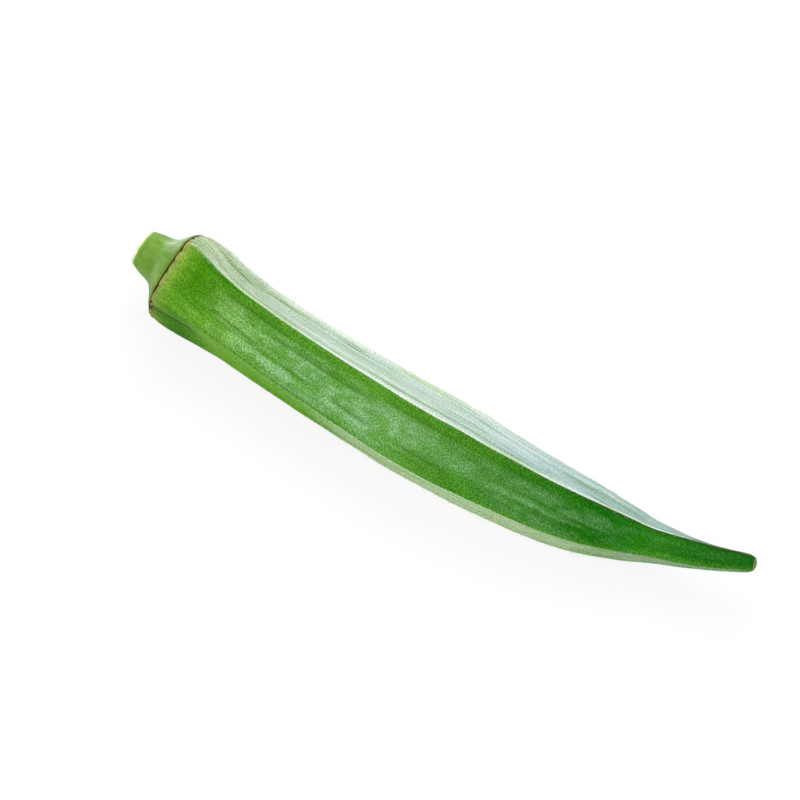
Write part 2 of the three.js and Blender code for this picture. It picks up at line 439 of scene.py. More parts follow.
def relief(pod, angle, share):
    """The skin's own unevenness, in millimetres outwards: the ribs with a furrow beside each,
    the seeds' bumps, the fibres, fine puckers, and a fold below the seam."""
    turn = angle / FULL_TURN
    facet, across = facet_place(angle)
    inset = ridge_distance(pod, angle, share)
    ends = eased(share, 0, 0.03) * (1 - eased(share, 0.95, 1))
    rib = pod.rib_height / MM * bell(inset, 0, 0.2) * blend(0.3, 1, ends)
    furrow = -0.05 * bell(inset, 0.75, 0.45) * ends
    middle = eased(np.minimum(across, 1 - across), 0.08, 0.3)
    seeds = 0.16 * (patchwork(share, turn, 24, 10, 21) - 0.5) * middle * ends
    lines = patchwork(share, turn, 9, 190, 22) - 0.5
    fine_lines = patchwork(share, turn, 26, 420, 23) - 0.5
    neck = 1 - eased(share, 0.06, 0.32)
    upper = np.where(facet == UPPER_FACET, 1, 0.45)
    strings = (lines * blend(0.05, 0.2 * upper, neck) + 0.035 * fine_lines) * ends
    pucker = 0.1 * (patchwork(share, turn, 40, 60, 24) - 0.5) * ends
    fold = np.where(facet == LOWER_FACET, bell(across, 0.42, 0.09), 0)
    return rib + furrow + seeds + strings + pucker - 0.22 * fold * (1 - eased(share, 0.02, 0.08))


def axis_frame(pod, share):
    """The axis point and the section's outward (-Y) direction, in millimetres from the seam."""
    length = pod.length / MM
    twist = np.radians(through(TWIST_DEGREES, share))
    drops = [
        -np.cos(ridge * RIDGE_STEP - twist)
        * section_radius(pod, np.full_like(share, ridge * RIDGE_STEP), share)
        for ridge in range(RIDGES)
    ]
    low = np.max(drops, axis=0) - pod.rest_press / MM
    height = blend(low, TIP_AXIS_HEIGHT_MM, eased(share, LIFT_START, 1))
    ahead, behind = np.minimum(share + 0.001, 1), np.maximum(share - 0.001, 0)
    slope = (through(SIDEWAYS_BOW_MM, ahead) - through(SIDEWAYS_BOW_MM, behind)) / (
        (ahead - behind) * length
    )
    outward = np.stack([slope, -np.ones_like(slope), np.zeros_like(slope)], -1)
    outward /= np.linalg.norm(outward, axis=-1, keepdims=True)
    centre = np.stack([share * length, through(SIDEWAYS_BOW_MM, share), height], -1)
    return centre, outward, twist


def around_axis(centre, outward, angle, radius, skew):
    """The point at a radius and an angle from the top towards -Y, leaning by the skew, and
    kept above the table."""
    offset = outward * (np.sin(angle) * radius)[..., None]
    offset[..., 2] += np.cos(angle) * radius
    offset[..., 0] += skew * (
        SEAM_SKEW_UP * offset[..., 2] + SEAM_SKEW_SIDE * offset[..., 1]
    )
    point = centre + offset
    point[..., 2] = np.maximum(point[..., 2], 0)
    return point


def skin_point(pod, angle, share, reach=1, rise=0):
    """A point of the skin, in millimetres from the seam."""
    share = np.asarray(share, float)
    centre, outward, twist = axis_frame(pod, share)
    end = rounded_end((1 - share) / TIP_ROUNDING, TIP_FLAT)
    radius = (section_radius(pod, angle, share) + relief(pod, angle, share)) * end
    skew = 1 - eased(share, 0, SKEW_END)
    return around_axis(centre, outward, angle - twist, reach * (radius + rise), skew)


def seam_origin(pod):
    """Where the seam's axis point lies in the frame, in metres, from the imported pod's box."""
    share, angle = spread(np.linspace(0, 1, 240), even_angles(200))
    centre, outward, twist = axis_frame(pod, share)
    end = rounded_end((1 - share) / TIP_ROUNDING, TIP_FLAT)
    radius = section_radius(pod, angle, share) * end
    plain = around_axis(centre, outward, angle - twist, radius, 1 - eased(share, 0, SKEW_END))
    low, high = np.array(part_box("pod"))
    middle = (plain.min((0, 1)) + plain.max((0, 1))) / 2 * MM
    return np.array([*((low + high) / 2 - middle)[:2], 0.0])


def even_angles(columns):
    return np.linspace(0, FULL_TURN, columns, endpoint=False)


def crowded_angles(columns):
    """Angles round a section, closer together beside the ridges."""
    even = even_angles(columns)
    return even - CROWDING * RIDGE_STEP / FULL_TURN * np.sin(even * RIDGES)


def spread(share, angle):
    """Every share with every angle, ring by ring and column by column."""
    return share[:, None] + 0 * angle, angle + 0 * share[:, None]


# --------------------------------------------------------------------------------- the meshes


def add_piece(mesh, material, replaced=None):
    """Puts a finished mesh in the scene as a piece of the object."""
    mesh.materials.append(material)
    piece = bpy.data.objects.new(mesh.name, mesh)
    bpy.context.scene.collection.objects.link(piece)
    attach(piece, "root")
    if replaced:
        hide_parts(replaced)
    return piece


def mesh_from(name, points, faces, smooth=True):
    mesh = bpy.data.meshes.new(name)
    mesh.from_pydata(points.tolist(), [], faces)
    mesh.validate()
    if smooth:
        mesh.shade_smooth()
    else:
        mesh.shade_flat()
    return mesh


def write_point_values(mesh, **values):
    for name, value in values.items():
        layer = mesh.attributes.new(name, "FLOAT", "POINT")
        layer.data.foreach_set("value", np.asarray(value, np.float32).ravel())


def write_uv(mesh, name, uv):
    layer = mesh.uv_layers.new(name=name, do_init=False)
    layer.uv.foreach_set("vector", np.asarray(uv, np.float32).ravel())


class Tube:
    """Rings of points round an axis, closed to a point at both ends, as mesh faces.

    Values that are given ring by ring and column by column, such as points or attributes,
    become one value for each vertex by at_points, and values that a function gives for each
    corner's ring and unwrapped column become one for each corner by at_corners.
    """

    def __init__(self, rings, columns):
        self.rings, self.columns = rings, columns
        column = np.arange(columns)
        ring, across = np.meshgrid(np.arange(1, rings - 2), column, indexing="ij")

        def faces_of(ring, column, corners):
            """Faces whose corners lie at these steps of ring and column from each place."""
            return np.stack([np.stack([ring + a, column + b], -1) for a, b in corners], 1)

        self.parts = (
            faces_of(0 * column, column, ((0, 0), (1, 1), (1, 0))),
            faces_of(ring.ravel(), across.ravel(), ((0, 0), (0, 1), (1, 1), (1, 0))),
            faces_of(0 * column + rings - 1, column, ((0, 0), (-1, 0), (-1, 1))),
        )

    def vertex(self, ring, column):
        inner = 1 + (ring - 1) * self.columns + column % self.columns
        last = 1 + (self.rings - 2) * self.columns
        return np.where(ring == 0, 0, np.where(ring == self.rings - 1, last, inner))

    def faces(self):
        made = []
        for part in self.parts:
            made += self.vertex(part[..., 0], part[..., 1]).tolist()
        return made

    def at_points(self, values):
        inner = values[1:-1].reshape(-1, *values.shape[2:])
        return np.concatenate([values[0, :1], inner, values[-1, :1]])

    def at_corners(self, value_at):
        """value_at(ring, column, facet's own column) for every corner."""
        made = []
        for part in self.parts:
            ring, column = part[..., 0], part[..., 1].astype(float)
            home = part[..., 1].min(1, keepdims=True) + 0 * part[..., 1]
            pole = (ring == 0) | (ring == self.rings - 1)
            made.append(value_at(ring, np.where(pole, column + 0.5, column), home).reshape(-1, 2))
        return np.concatenate(made)

    def bake_places(self):
        return self.at_corners(
            lambda ring, column, home: np.stack(
                [ring / (self.rings - 1), column / self.columns], -1
            )
        )


def tube_mesh(name, tube, points, pod, **masks):
    """A tube's mesh from its points in millimetres from the seam, with its masks."""
    mesh = mesh_from(name, tube.at_points(points) * MM + seam_origin(pod), tube.faces())
    write_point_values(mesh, **{key: tube.at_points(mask) for key, mask in masks.items()})
    return mesh


def hair_mesh(name, roots, tips, widths, shade):
    """Closed three-sided spikes from roots to tips. Each reads its colour by its own shade
    across and by its height up the map."""
    count = len(roots)
    away = tips - roots
    away /= np.linalg.norm(away, axis=1, keepdims=True)
    helper = np.where(np.abs(away[:, 2:]) < 0.9, [[0, 0, 1.0]], [[1.0, 0, 0]])
    side = np.cross(away, helper)
    side /= np.linalg.norm(side, axis=1, keepdims=True)
    other = np.cross(away, side)
    base = [
        roots + (side * math.cos(a) + other * math.sin(a)) * widths[:, None] / 2
        for a in (0, FULL_TURN / 3, 2 * FULL_TURN / 3)
    ]
    points = np.stack([*base, tips], 1).reshape(-1, 3)
    spike = np.array([[0, 1, 3], [1, 2, 3], [2, 0, 3], [2, 1, 0]])
    faces = (np.arange(count)[:, None, None] * HAIR_POINTS + spike).reshape(-1, 3).tolist()
    mesh = mesh_from(name, points * MM, faces, smooth=False)
    wide = HAIR_MAP_WIDTH
    place = np.array([[0, 0], [wide, 0], [wide / 2, 1]])
    foot = np.array([[0, 0], [wide, 0], [wide / 2, FOOT_HEIGHT]])
    corner = np.stack([place, place, place, foot])[None] + np.zeros((count, 1, 1, 1))
    corner[..., 0] += MAP_MARGIN + SHADE_SPREAD * shade[:, None, None]
    corner[..., 1] = MAP_MARGIN + (1 - 2 * MAP_MARGIN) * corner[..., 1]
    write_uv(mesh, "OFBake", corner)
    return mesh


# ------------------------------------------------------------------------------ the materials


class Board:
    """Short calls that add nodes to a tree and join them."""

    def __init__(self, tree):
        self.tree = tree
        tree.nodes.clear()

    def add(self, kind, **settings):
        node = self.tree.nodes.new("ShaderNode" + kind)
        count = len(self.tree.nodes)
        node.location = (count % 9 * 190, -(count // 9) * 280)
        for key, value in settings.items():
            setattr(node, key, value)
        return node

    def put(self, socket, value):
        """Joins a socket to another, or sets it to a plain value."""
        if isinstance(value, bpy.types.NodeSocket):
            self.tree.links.new(value, socket)
        elif value is not None:
            if socket.type == "RGBA" and len(value) == 3:
                value = (*value, 1)
            socket.default_value = value

    def maths(self, operation, first, second=None, third=None, clamp=False):
        node = self.add("Math", operation=operation, use_clamp=clamp)
        for socket, value in zip(node.inputs, (first, second, third)):
            self.put(socket, value)
        return node.outputs[0]

    def times(self, *factors, clamp=False):
        product = factors[0]
        for factor in factors[1:]:
            product = self.maths("MULTIPLY", product, factor, clamp=clamp)
        return product

    def mix(self, share, low, high, kind="MIX"):
        node = self.add("Mix", data_type="RGBA", blend_type=kind)
        self.put(node.inputs[0], share)
        self.put(node.inputs[6], low)
        self.put(node.inputs[7], high)
        return node.outputs[2]

    def toned(self, share, colour, factor):
        """The colour times the factor for each channel, as far as the share goes."""
        return self.mix(share, colour, factor, "MULTIPLY")

    def mix_value(self, share, low, high):
        node = self.add("Mix", data_type="FLOAT")
        self.put(node.inputs[0], share)
        self.put(node.inputs[2], low)
        self.put(node.inputs[3], high)
        return node.outputs[0]

    def span(self, value, low, high, to_low=0.0, to_high=1.0):
        node = self.add("MapRange", interpolation_type="SMOOTHSTEP")
        for socket, given in zip(node.inputs, (value, low, high, to_low, to_high)):
            self.put(socket, given)
        return node.outputs[0]

    def noise(self, place, scale, detail=2.0, roughness=0.5, distortion=0.0):
        node = self.add("TexNoise", noise_dimensions="3D")
        self.put(node.inputs["Vector"], place)
        for key, value in (
            ("Scale", scale), ("Detail", detail), ("Roughness", roughness),
            ("Distortion", distortion),
        ):
            self.put(node.inputs[key], value)
        return node.outputs["Fac"]

    def stretched(self, place, along, across, turn=0.0, depth=1.0):
        """A place scaled unevenly, and turned by an angle in the skin's own plane."""
        node = self.add("Mapping", vector_type="TEXTURE")
        self.put(node.inputs["Vector"], place)
        node.inputs["Rotation"].default_value = (0, 0, turn)
        node.inputs["Scale"].default_value = (along, across, depth)
        return node.outputs[0]

    def value_of(self, name):
        return self.add("Attribute", attribute_name=name).outputs["Fac"]

    def place_on(self, uv_map):
        return self.add("UVMap", uv_map=uv_map).outputs[0]

    def ramp(self, value, stops):
        node = self.add("ValToRGB")
        ramp = node.color_ramp
        while len(ramp.elements) < len(stops):
            ramp.elements.new(0.5)
        for element, (place, colour) in zip(ramp.elements, stops):
            element.position = place
            element.color = (*colour, 1)
        self.put(node.inputs[0], value)
        return node.outputs[0]

    def bump(self, height, strength, distance_mm, normal=None):
        node = self.add("Bump")
        self.put(node.inputs["Strength"], strength)
        self.put(node.inputs["Distance"], distance_mm * MM)
        self.put(node.inputs["Height"], height)
        self.put(node.inputs["Normal"], normal)
        return node.outputs[0]

    def shared(self, name, place, **inputs):
        """The outputs of a shared node group, which is built on first use."""
        tree = bpy.data.node_groups.get(name) or SHARED_GROUPS[name](name)
        node = self.add("Group", node_tree=tree)
        self.put(node.inputs["Place"], place)
        for key, value in inputs.items():
            self.put(node.inputs[key.title()], value)
        return node.outputs

    def divided(self, place, size):
        node = self.add("VectorMath", operation="DIVIDE")
        self.put(node.inputs[0], place)
        self.put(node.inputs[1], size)
        return node.outputs[0]


def new_group(name, inputs, outputs):
    """An empty node group with the named sockets, with its board and its two ends."""
    tree = bpy.data.node_groups.new(name, "ShaderNodeTree")
    for key, (kind, default) in inputs.items():
        socket = tree.interface.new_socket(key, in_out="INPUT", socket_type="NodeSocket" + kind)
        if default is not None:
            socket.default_value = default
    for key, kind in outputs.items():
        tree.interface.new_socket(key, in_out="OUTPUT", socket_type="NodeSocket" + kind)
    board = Board(tree)
    entry = tree.nodes.new("NodeGroupInput")
    leave = tree.nodes.new("NodeGroupOutput")
    return tree, board, entry.outputs, leave.inputs


def build_fibres(name):
    """Long thin lines that run along the plant: a mask of dark ones and one of pale ones."""
    tree, board, entry, leave = new_group(
        name,
        {"Place": ("Vector", None), "Spacing": ("Float", 0.6), "Run": ("Float", 14.0)},
        {"Dark": "Float", "Pale": "Float", "Height": "Float"},
    )
    split = board.add("SeparateXYZ")
    board.put(split.inputs[0], entry["Place"])
    along = board.maths("DIVIDE", split.outputs[0], entry["Run"])
    across = board.maths("DIVIDE", split.outputs[1], entry["Spacing"])
    depth = board.maths("DIVIDE", split.outputs[2], entry["Spacing"])
    join = board.add("CombineXYZ")
    for socket, value in zip(join.inputs, (along, across, depth)):
        board.put(socket, value)
    lines = board.noise(join.outputs[0], 1.0, 2.5, 0.6, 0.15)
    board.put(leave["Dark"], board.span(lines, 0.48, 0.34))
    board.put(leave["Pale"], board.span(lines, 0.52, 0.68))
    board.put(leave["Height"], lines)
    return tree


def build_nap(name):
    """Short slanting strokes, as of down combed this way and that."""
    tree, board, entry, leave = new_group(
        name,
        {"Place": ("Vector", None), "Stroke": ("Float", 1.0)},
        {"Light": "Float", "Height": "Float"},
    )
    sized = board.divided(entry["Place"], entry["Stroke"])
    one_way = board.noise(board.stretched(sized, 0.95, 0.2, 1.05), 1, 2, 0.6)
    other_way = board.noise(board.stretched(sized, 0.7, 0.16, 2.3), 1, 2, 0.6)
    chooser = board.noise(board.stretched(sized, 5, 5), 1, 1, 0.5)
    nap = board.mix_value(board.span(chooser, 0.5, 0.66), one_way, other_way)
    board.put(leave["Light"], board.span(nap, 0.36, 0.66))
    board.put(leave["Height"], nap)
    return tree


def build_mottle(name):
    """Soft uneven blotches in two sizes."""
    tree, board, entry, leave = new_group(
        name,
        {"Place": ("Vector", None), "Size": ("Float", 6.0)},
        {"Blotch": "Float", "Grain": "Float"},
    )
    sized = board.divided(entry["Place"], entry["Size"])
    board.put(leave["Blotch"], board.span(board.noise(sized, 1, 3, 0.6), 0.3, 0.7))
    board.put(leave["Grain"], board.span(board.noise(sized, 14, 2, 0.6), 0.25, 0.75))
    return tree


SHARED_GROUPS = {
    "Plant Fibres": build_fibres,
    "Down Nap": build_nap,
    "Plant Mottle": build_mottle,
}


def new_material(name, **constants):
    """A material with one Principled shader, whose plain values are set on its sockets."""
    material = bpy.data.materials.new(name)
    material.use_nodes = True
    board = Board(material.node_tree)
    shader = board.add("BsdfPrincipled")
    for key, value in constants.items():
        socket = shader.inputs[key.replace("_", " ").title().replace("Ior", "IOR")]
        board.put(socket, value)
    board.put(board.add("OutputMaterial").inputs[0], shader.outputs[0])
    return material, board, shader.inputs


def pod_greens(board, pod, share, mottle):
    """The bare skin's green from seam to tip, paler on the lower facets, uneven, and deeper under
    the top ridge as painted shade."""
    neck, belly, tip = tuple(pod.neck_green), tuple(pod.belly_green), tuple(pod.tip_green)
    pale = tuple(pod.shaded_green)
    later = tuple(0.42 * a + 0.58 * b for a, b in zip(tip, belly))
    lip = ((0.0, tint(150, 158, 92)), (0.008, tint(132, 166, 60)), (0.024, tint(96, 151, 28)))
    green = board.ramp(share, (
        *lip, (0.05, neck), (0.2, belly), (0.45, belly), (0.57, later), (0.77, tip),
        (0.87, tint(34, 118, 8)), (0.95, tint(8, 98, 0)),
    ))
    paler = board.ramp(share, (
        *lip, (0.06, tint(106, 162, 40)), (0.1, tint(118, 176, 46)), (0.16, pale), (0.6, pale),
        (0.85, tip),
    ))
    green = board.mix(board.value_of("lower"), green, paler)
    green = board.toned(1.0, green, board.mix(mottle["Blotch"], *BLOTCH_TONES))
    # Painted shade: deeper green under the top ridge.
    under = board.times(board.value_of("shade_under_ridge"), 0.28)
    return board.toned(under, green, UNDER_RIDGE_SHADE_TONE)


def pod_whites(board, pod, share, upper, place, fibres, bands, dark_bands):
    """The down's colour, partly painted sheen. On the upper facet it is whitest, from the down's
    own white and painted sheen, with streaks along it, puckers and brown specks by the neck, and
    a white hem along its ridges."""
    thick = tuple(pod.top_down_and_sheen)
    dark_pucker, pale_pucker = tint(120, 146, 88), tint(214, 222, 202)
    pale_band, pale_hem = tint(222, 230, 224), tint(222, 230, 222)
    brown_speck = tint(146, 142, 108)
    top_white_and_sheen = board.ramp(share, (
        (0.0, tint(184, 200, 168)), (0.25, thick), (0.5, thick), (0.62, tint(180, 201, 204)),
        (0.88, tint(150, 178, 174)),
    ))
    front_white = board.ramp(share, ((0.1, tint(142, 192, 92)), (0.27, tuple(pod.felt_colour))))
    whites = board.mix(board.value_of("lower"), front_white, tuple(pod.low_down_and_sheen))
    whites = board.mix(upper, whites, top_white_and_sheen)
    near_neck = board.times(upper, board.span(share, 0.42, 0.1, 0.0, 0.62))
    puckers = board.times(near_neck, board.maths("ADD", fibres["Dark"], fibres["Pale"]))
    whites = board.mix(puckers, whites, board.mix(fibres["Pale"], dark_pucker, pale_pucker))
    streaks = board.times(upper, board.maths("ADD", fibres["Dark"], dark_bands))
    whites = board.toned(streaks, whites, STREAK_TONE)
    whites = board.mix(board.times(upper, bands["Pale"], 0.6), whites, pale_band)
    specks = board.noise(board.stretched(place, 0.9, 0.5), 1, 2, 0.6)
    specks = board.times(board.span(specks, 0.54, 0.64), near_neck)
    whites = board.mix(specks, whites, brown_speck)
    return board.mix(board.value_of("hem"), whites, pale_hem)


def pod_lines(board, green, whites, upper, place, fibres, dark_bands):
    """The skin's colour with the lines that run along the pod, from fine to broad."""
    strength = board.maths("MULTIPLY_ADD", board.value_of("neck_lines"), 0.5, 0.14)
    green = board.toned(board.times(fibres["Dark"], strength), green, FIBRE_TONE)
    green = board.mix(board.times(fibres["Pale"], strength, 0.3), green, whites)
    # Painted light: paler green above the front facet's lower ridge.
    lit_low_edge = tint(116, 174, 52)
    green = board.mix(board.times(board.value_of("lit_low_edge"), 0.4), green, lit_low_edge)
    veins = board.shared("Plant Fibres", place, spacing=0.95, run=30.0)
    vein_share = board.times(veins["Dark"], board.mix_value(upper, 0.5, 0.0))
    return board.toned(dark_bands, board.toned(vein_share, green, VEIN_TONE), BAND_TONE)


def pod_nap(board, green, share, upper, place, nap):
    """The skin's colour with its strokes and grains, and with green specks on the beak."""
    grains = board.noise(board.stretched(place, 0.32, 0.26, 0.9), 1, 2, 0.7)
    grains = board.mix(board.span(grains, 0.34, 0.66), *GRAIN_TONES)
    both = board.toned(1.0, board.mix(nap["Light"], *STROKE_TONES), grains)
    green = board.toned(1.0, green, board.mix(board.times(upper, 0.4), both, (1, 1, 1)))
    specks = board.times(board.span(nap["Light"], 0.6, 1.0), 0.22, board.span(share, 0.6, 0.78))
    return board.mix(specks, green, tint(72, 150, 12))


def pod_material(pod):
    """Ribbed green skin under felted down, with fibre lines, fine grains and dark lines, and
    painted shade at the heel, in its fold and under the top ridge.
    """
    material, board, skin = new_material(
        "pod_skin", sheen_weight=0.01, sheen_roughness=0.5, specular_ior_level=0.04,
    )
    place = board.place_on("SkinMillimetres")
    share, felt, upper = (board.value_of(name) for name in ("share", "felt", "upper"))
    mottle = board.shared("Plant Mottle", place, size=3.0)
    fibres = board.shared("Plant Fibres", place, spacing=0.42, run=13.0)
    bands = board.shared("Plant Fibres", place, spacing=1.9, run=42.0)
    nap = board.shared("Down Nap", place, stroke=0.9)
    dark_bands = board.times(bands["Dark"], 0.65)
    green = pod_greens(board, pod, share, mottle)
    whites = pod_whites(board, pod, share, upper, place, fibres, bands, dark_bands)

    # The down covers the green, but for the gaps in its nap and the broad dark bands.
    gaps = board.maths("MULTIPLY_ADD", nap["Light"], 0.5, 0.6)
    cover = board.times(felt, board.mix_value(upper, gaps, 1.0), clamp=True)
    open_share = board.maths("SUBTRACT", 1.0, board.mix_value(upper, dark_bands, 0.0))
    green = board.mix(board.times(cover, open_share), green, whites)

    green = pod_lines(board, green, whites, upper, place, fibres, dark_bands)
    green = pod_nap(board, green, share, upper, place, nap)
    # Painted shade at the heel; then the dark lines, with painted shade in the heel's fold.
    green = board.toned(board.value_of("heel_shade"), green, HEEL_SHADE_TONE)
    green = board.mix(board.value_of("lines_and_fold_shade"), green, tint(44, 80, 12))
    board.put(skin["Base Color"], green)

    rough = board.maths("MULTIPLY_ADD", felt, 0.25, 0.46)
    rough = board.maths("MULTIPLY_ADD", mottle["Grain"], 0.14, rough, clamp=True)
    board.put(skin["Roughness"], rough)
    height = board.maths("MULTIPLY_ADD", fibres["Height"], 0.5, nap["Height"])
    height = board.maths("MULTIPLY_ADD", mottle["Grain"], 0.25, height)
    board.put(skin["Normal"], board.bump(height, 0.6, 0.12))
    return material


def stalk_material(stalk):
    """Smooth pale stem with bloom on its flare, stronger on top as painted light, an olive seam
    edge and a moist fibrous cut.
    """
    material, board, skin = new_material(
        "stalk_skin", sheen_weight=0.01, sheen_roughness=0.4, specular_ior_level=0.1
    )
    place = board.place_on("SkinMillimetres")
    back, cut = board.value_of("back"), board.value_of("cut")
    mottle = board.shared("Plant Mottle", place, size=3.2)
    fibres = board.shared("Plant Fibres", place, spacing=0.45, run=7.0)
    skin_green = tuple(stalk.skin_colour)
    green = board.ramp(back, (
        (0.0, tint(96, 120, 14)), (0.05, tint(100, 138, 18)), (0.14, tint(104, 148, 34)),
        (0.3, skin_green), (0.86, skin_green), (0.92, tint(136, 176, 72)),
        (0.95, tint(236, 246, 196)),
    ))
    # The bloom lies on the flare, and it is stronger where the flare faces up, as painted light.
    on_flare = board.times(board.span(back, 0.01, 0.14), board.span(back, 0.62, 0.3))
    lit = board.maths("MULTIPLY_ADD", board.value_of("top"), 0.8, 0.1)
    bloom = board.times(on_flare, lit, board.span(mottle["Blotch"], 0.1, 0.9, 0.7, 1.0))
    green = board.mix(bloom, green, tuple(stalk.bloom_colour))
    green = board.toned(board.times(fibres["Dark"], 0.098), green, tint(150, 170, 110))
    green = board.mix(board.times(fibres["Pale"], 0.1), green, tint(186, 208, 150))
    green = board.toned(1.0, green, board.mix(mottle["Blotch"], *STALK_TONES))
    pith = board.ramp(cut, (
        (0.0, skin_green), (0.03, tint(150, 186, 92)), (0.16, tint(176, 202, 118)),
        (0.3, tint(158, 186, 96)), (0.42, tuple(stalk.cut_colour)), (1.0, tint(214, 224, 176)),
    ))
    pith = board.mix(board.times(mottle["Grain"], 0.35), pith, tint(146, 158, 84))
    green = board.mix(board.span(cut, 0.0, 0.02), green, pith)
    board.put(skin["Base Color"], green)
    moist = board.span(cut, 0, 0.05, 0.42, 0.3)
    board.put(skin["Roughness"], board.maths("MULTIPLY_ADD", mottle["Grain"], 0.2, moist))
    height = board.maths("MULTIPLY_ADD", mottle["Grain"], 0.3, fibres["Height"])
    board.put(skin["Normal"], board.bump(height, 0.35, 0.1))
    return material


def scar_material(name, dark, pale):
    """Torn dry tissue: dark brown in its folds, paler along its edges."""
    material, board, skin = new_material(name, sheen_weight=0.05, specular_ior_level=0.15)
    in_mm = board.divided(board.add("TexCoord").outputs["Object"], (MM, MM, MM))
    mottle = board.shared("Plant Mottle", in_mm, size=1.6)
    shadowed = board.mix(0.6, dark, (0, 0, 0))
    brown = board.mix(mottle["Blotch"], shadowed, dark)
    dry = board.mix(mottle["Grain"], board.mix(0.5, dark, pale), pale)
    brown = board.mix(board.span(board.value_of("edge"), 0.25, 0.7), brown, dry)
    board.put(skin["Base Color"], brown)
    board.put(skin["Roughness"], board.maths("MULTIPLY_ADD", mottle["Grain"], 0.25, 0.65))
    board.put(skin["Normal"], board.bump(mottle["Grain"], 0.8, 0.12))
    return material


def hair_material(down):
    """Hairs with greener roots and shades of their own, whiter by the upper facet, partly as
    painted sheen.
    """
    material, board, hair = new_material(
        "down", sheen_weight=0.3, sheen_roughness=0.3, specular_ior_level=0.3
    )
    place = board.place_on("OFBake")
    split = board.add("SeparateXYZ")
    board.put(split.inputs[0], place)
    white = tuple(down.colour)
    colour = board.ramp(split.outputs[1], (
        (0.0, tint(166, 200, 134)), (0.4, tint(204, 222, 186)), (1.0, white),
    ))
    own = board.noise(board.stretched(place, 0.03, 30), 1, 1, 0.5)
    colour = board.mix(board.span(own, 0.35, 0.65, 0.0, 0.5), colour, tint(178, 204, 150))
    # The hairs by the upper facet are whiter, partly as painted sheen.
    whiter = board.mix(own, tint(206, 216, 206), white)
    colour = board.mix(board.value_of("upper"), colour, whiter)
    board.put(hair["Base Color"], colour)
    board.put(hair["Roughness"], board.span(own, 0.3, 0.7, 0.4, 0.65))
    return material


def shared_hair_material(down):
    return bpy.data.materials.get("down") or hair_material(down)


# --------------------------------------------------------------------------------- the pieces


def front_lines(across, shares):
    """The single dark lines of the front facet."""
    lines = 0
    for start, end, at, drift, depth in FRONT_LINES:
        shown = eased(shares, start, start + LINE_FADE)
        shown = shown * (1 - eased(shares, end - LINE_FADE, end))
        lines = lines + depth * bell(across, at + drift * (shares - start), LINE_BREADTH) * shown
    return lines


def pod_masks(pod, angles, shares):
    """How strong each marking of the skin is at every point."""
    facet, across = facet_place(angles)
    width = facet_width(pod, shares)
    on_upper, on_front = facet == UPPER_FACET, facet == FRONT_FACET
    below_top = np.where(on_front, across * width, ELSEWHERE_MM)
    to_next = np.where(on_front, (1 - across) * width, ELSEWHERE_MM)
    apart = ridge_distance(pod, angles, shares)
    from_top = top_ridge_side(angles, shares)

    # Fibre lines show best by the neck, and on the upper facet.
    neck = 1 - eased(shares, 0.08, 0.3)
    neck_lines = np.where(on_upper, blend(0.5, 1, neck), neck * 0.5)

    # Painted shade: deeper green under the top ridge, where the skin turns down from the light,
    # and a second darker band down the belly, with a gap in both.
    under_at = blend(0.7, 0.3, eased(shares, 0.6, 0.8))
    shade_under_ridge = bell(below_top, under_at, 0.75 * under_at / 0.7)
    belly = eased(shares, 0.2, 0.3) * (1 - eased(shares, 0.5, 0.6))
    shade_under_ridge = shade_under_ridge + 0.5 * bell(below_top, 2.4, 0.4) * belly
    shade_under_ridge = shade_under_ridge * (1 - 0.9 * bell(shares, 0.59, 0.08))

    # The white hem: narrow along the top ridge, and broader along the back one.
    by_top = (1 - eased(apart, 0.2, 1.0)) * eased(shares, 0.01, 0.07)
    by_back = 0.75 * (1 - eased(apart, 0.6, 2.4)) * eased(shares, 0.1, 0.2)
    by_back = by_back * (1 - eased(shares, 0.5, 0.72))
    hem = np.where(on_upper & (across > 0.5), by_top, by_back) * from_top

    # Painted light: paler green above the front facet's lower ridge, where the skin turns up to
    # the light: a thin line, and a patch by the seam.
    lit_low_edge = 0.5 * (1 - eased(to_next, 0.1, 1.1)) * eased(shares, 0.5, 0.72)
    lit_low_edge = lit_low_edge + 1.4 * (1 - eased(to_next, 0.8, 4)) * bell(shares, 0.07, 0.075)

    # Painted shade: the lower facet darker at the heel and darkest along its fold, where the
    # rounded base turns down from the light; and the dark lines.
    at_heel = np.where(facet == LOWER_FACET, 1 - eased(shares, 0.045, 0.12), 0)
    lines_and_fold_shade = at_heel * bell(across, 0.34, 0.07)
    lines_and_fold_shade = lines_and_fold_shade + 0.8 * bell(below_top, 0.12, 0.16) * eased(shares, 0.7, 0.82)
    inner = eased(shares, 0.06, 0.12) * (1 - eased(shares, 0.36, 0.5))
    lines_and_fold_shade = lines_and_fold_shade + 0.35 * bell(to_next, 0.25, 0.16) * inner
    lines_and_fold_shade = lines_and_fold_shade + front_lines(across, shares) * on_front
    below = (facet == LOWER_FACET) | (facet == BACK_FACET)
    return {
        "lit_low_edge": lit_low_edge,
        "share": shares,
        "felt": felt_thickness(angles, shares),
        "neck_lines": neck_lines,
        "shade_under_ridge": shade_under_ridge,
        "upper": from_top,
        "heel_shade": at_heel * eased(across, 0.12, 0.44),
        "lines_and_fold_shade": lines_and_fold_shade,
        "lower": below * eased(shares, 0.05, 0.14),
        "hem": hem,
    }


